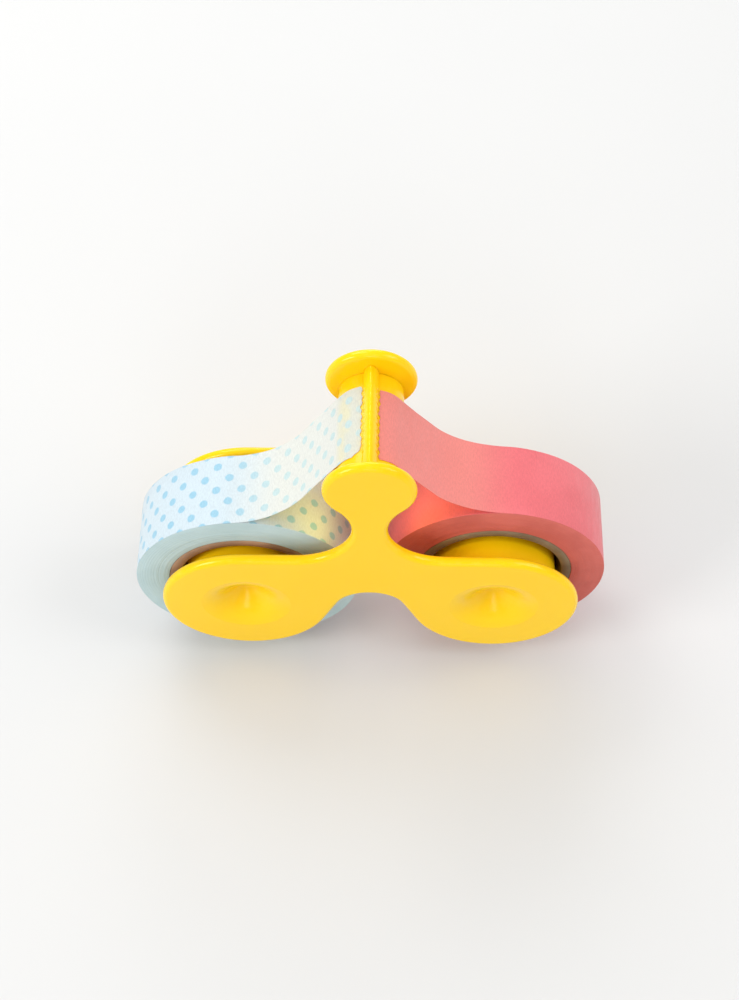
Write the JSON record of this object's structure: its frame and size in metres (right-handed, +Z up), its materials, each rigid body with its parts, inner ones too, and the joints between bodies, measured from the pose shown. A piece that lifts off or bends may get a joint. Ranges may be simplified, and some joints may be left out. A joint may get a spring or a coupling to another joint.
{
  "type": "tape dispenser",
  "caption": "Free-standing holder for rolls of washi tape between lobed side plates, with finger dimples and a toothed tear ridge on a post.",
  "frame": {"origin": "on the table, under the middle of the dispenser", "axes": "+X to the right along both rolls, +Y to the rear plate along the roll axes, +Z up"},
  "size_m": [0.092, 0.0264, 0.0697],
  "materials": {
    "yellow_plastic": "glossy moulded plastic",
    "core_board": "wound brown paper board",
    "blue_tape": "pale blue washi paper with light-blue dots",
    "coral_tape": "plain coral washi paper"
  },
  "bodies": {
    "rear_half": {"rear_plate": "yellow_plastic", "left_spool": "yellow_plastic", "right_spool": "yellow_plastic", "cutter_post": "yellow_plastic", "cutting_ridge": "yellow_plastic", "left_tape_end": "blue_tape", "right_tape_end": "coral_tape"},
    "front_half": {"front_plate": "yellow_plastic"},
    "left_roll": {"left_core": "core_board", "left_tape": "blue_tape"},
    "right_roll": {"right_core": "core_board", "right_tape": "coral_tape"}
  },
  "joints": [
    {"name": "front_plate_pull", "type": "slide", "parent": "rear_half", "child": "front_half", "axis": [0, -1, 0], "range_m": [0, 0.025]},
    {"name": "left_roll_spin", "type": "hinge", "parent": "rear_half", "child": "left_roll", "pos_m": [-0.02425, 0, 0.02175], "axis": [0, 1, 0], "continuous": true},
    {"name": "right_roll_spin", "type": "hinge", "parent": "rear_half", "child": "right_roll", "pos_m": [0.02425, 0, 0.02175], "axis": [0, 1, 0], "continuous": true}
  ]
}
